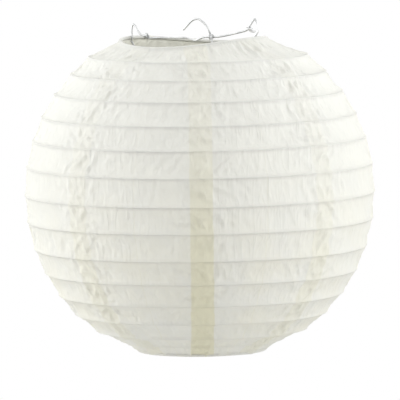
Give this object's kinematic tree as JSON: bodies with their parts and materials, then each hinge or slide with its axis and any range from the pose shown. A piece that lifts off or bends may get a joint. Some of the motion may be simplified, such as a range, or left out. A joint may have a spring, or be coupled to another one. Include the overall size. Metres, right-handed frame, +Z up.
{
  "type": "accordion paper lantern",
  "caption": "Round folding paper lantern shade on wire hoops, held open by a sprung wire expander and hung from a loose wire hook.",
  "frame": {"origin": "the inside of the hanging hook's bend, where the lantern hangs from a line or a nail", "axes": "+Z up, +X along the crossbar towards the closed ear, +Y across the crossbar"},
  "size_m": [0.3, 0.3, 0.2891],
  "materials": {
    "paper": "matte",
    "hoop_wire": "satin",
    "ring_wire": "satin",
    "frame_wire": "satin"
  },
  "bodies": {
    "hook": {"hanging_hook": "frame_wire"},
    "frame": {"top_ring": "ring_wire", "crossbar": "frame_wire", "expander_wire": "frame_wire", "paper_panel_01": "paper"},
    "hoop_01": {"hoop_01": "hoop_wire", "paper_panel_02": "paper"},
    "hoop_02": {"hoop_02": "hoop_wire", "paper_panel_03": "paper"},
    "hoop_03": {"hoop_03": "hoop_wire", "paper_panel_04": "paper"},
    "hoop_04": {"hoop_04": "hoop_wire", "paper_panel_05": "paper"},
    "hoop_05": {"hoop_05": "hoop_wire", "paper_panel_06": "paper"},
    "hoop_06": {"hoop_06": "hoop_wire", "paper_panel_07": "paper"},
    "hoop_07": {"hoop_07": "hoop_wire", "paper_panel_08": "paper"},
    "hoop_08": {"hoop_08": "hoop_wire", "paper_panel_09": "paper"},
    "hoop_09": {"hoop_09": "hoop_wire", "paper_panel_10": "paper"},
    "hoop_10": {"hoop_10": "hoop_wire", "paper_panel_11": "paper"},
    "hoop_11": {"hoop_11": "hoop_wire", "paper_panel_12": "paper"},
    "hoop_12": {"hoop_12": "hoop_wire", "paper_panel_13": "paper"},
    "hoop_13": {"hoop_13": "hoop_wire", "paper_panel_14": "paper"},
    "hoop_14": {"hoop_14": "hoop_wire", "paper_panel_15": "paper"},
    "bottom_ring": {"bottom_ring": "ring_wire"}
  },
  "joints": [
    {"name": "hook_swing", "type": "hinge", "parent": "hook", "child": "frame", "pos_m": [0.0132, 0, -0.0142], "axis": [1, 0, 0], "range_deg": [-90, 90]},
    {"name": "fold_01", "type": "slide", "parent": "frame", "child": "hoop_01", "axis": [0, 0, 1], "range_m": [0, 0.00917], "deforming": ["paper_panel_01", "expander_wire"]},
    {"name": "fold_02", "type": "slide", "parent": "hoop_01", "child": "hoop_02", "axis": [0, 0, 1], "range_m": [0, 0.01235], "deforming": ["paper_panel_02"]},
    {"name": "fold_03", "type": "slide", "parent": "hoop_02", "child": "hoop_03", "axis": [0, 0, 1], "range_m": [0, 0.01509], "deforming": ["paper_panel_03"]},
    {"name": "fold_04", "type": "slide", "parent": "hoop_03", "child": "hoop_04", "axis": [0, 0, 1], "range_m": [0, 0.0172], "deforming": ["paper_panel_04"]},
    {"name": "fold_05", "type": "slide", "parent": "hoop_04", "child": "hoop_05", "axis": [0, 0, 1], "range_m": [0, 0.01794], "deforming": ["paper_panel_05"]},
    {"name": "fold_06", "type": "slide", "parent": "hoop_05", "child": "hoop_06", "axis": [0, 0, 1], "range_m": [0, 0.02045], "deforming": ["paper_panel_06"]},
    {"name": "fold_07", "type": "slide", "parent": "hoop_06", "child": "hoop_07", "axis": [0, 0, 1], "range_m": [0, 0.02205], "deforming": ["paper_panel_07"]},
    {"name": "fold_08", "type": "slide", "parent": "hoop_07", "child": "hoop_08", "axis": [0, 0, 1], "range_m": [0, 0.02073], "deforming": ["paper_panel_08"]},
    {"name": "fold_09", "type": "slide", "parent": "hoop_08", "child": "hoop_09", "axis": [0, 0, 1], "range_m": [0, 0.02141], "deforming": ["paper_panel_09"]},
    {"name": "fold_10", "type": "slide", "parent": "hoop_09", "child": "hoop_10", "axis": [0, 0, 1], "range_m": [0, 0.0183], "deforming": ["paper_panel_10"]},
    {"name": "fold_11", "type": "slide", "parent": "hoop_10", "child": "hoop_11", "axis": [0, 0, 1], "range_m": [0, 0.01745], "deforming": ["paper_panel_11"]},
    {"name": "fold_12", "type": "slide", "parent": "hoop_11", "child": "hoop_12", "axis": [0, 0, 1], "range_m": [0, 0.01426], "deforming": ["paper_panel_12"]},
    {"name": "fold_13", "type": "slide", "parent": "hoop_12", "child": "hoop_13", "axis": [0, 0, 1], "range_m": [0, 0.01209], "deforming": ["paper_panel_13"]},
    {"name": "fold_14", "type": "slide", "parent": "hoop_13", "child": "hoop_14", "axis": [0, 0, 1], "range_m": [0, 0.00668], "deforming": ["paper_panel_14"]},
    {"name": "fold_15", "type": "slide", "parent": "hoop_14", "child": "bottom_ring", "axis": [0, 0, 1], "range_m": [0, 0.00693], "deforming": ["paper_panel_15"]}
  ],
  "couplings": [
    {"joint": "fold_02", "follows": "fold_01", "ratio": 1.3468},
    {"joint": "fold_03", "follows": "fold_01", "ratio": 1.6456},
    {"joint": "fold_04", "follows": "fold_01", "ratio": 1.8757},
    {"joint": "fold_05", "follows": "fold_01", "ratio": 1.9564},
    {"joint": "fold_06", "follows": "fold_01", "ratio": 2.2301},
    {"joint": "fold_07", "follows": "fold_01", "ratio": 2.4046},
    {"joint": "fold_08", "follows": "fold_01", "ratio": 2.2606},
    {"joint": "fold_09", "follows": "fold_01", "ratio": 2.3348},
    {"joint": "fold_10", "follows": "fold_01", "ratio": 1.9956},
    {"joint": "fold_11", "follows": "fold_01", "ratio": 1.9029},
    {"joint": "fold_12", "follows": "fold_01", "ratio": 1.5551},
    {"joint": "fold_13", "follows": "fold_01", "ratio": 1.3184},
    {"joint": "fold_14", "follows": "fold_01", "ratio": 0.72846},
    {"joint": "fold_15", "follows": "fold_01", "ratio": 0.75572}
  ]
}
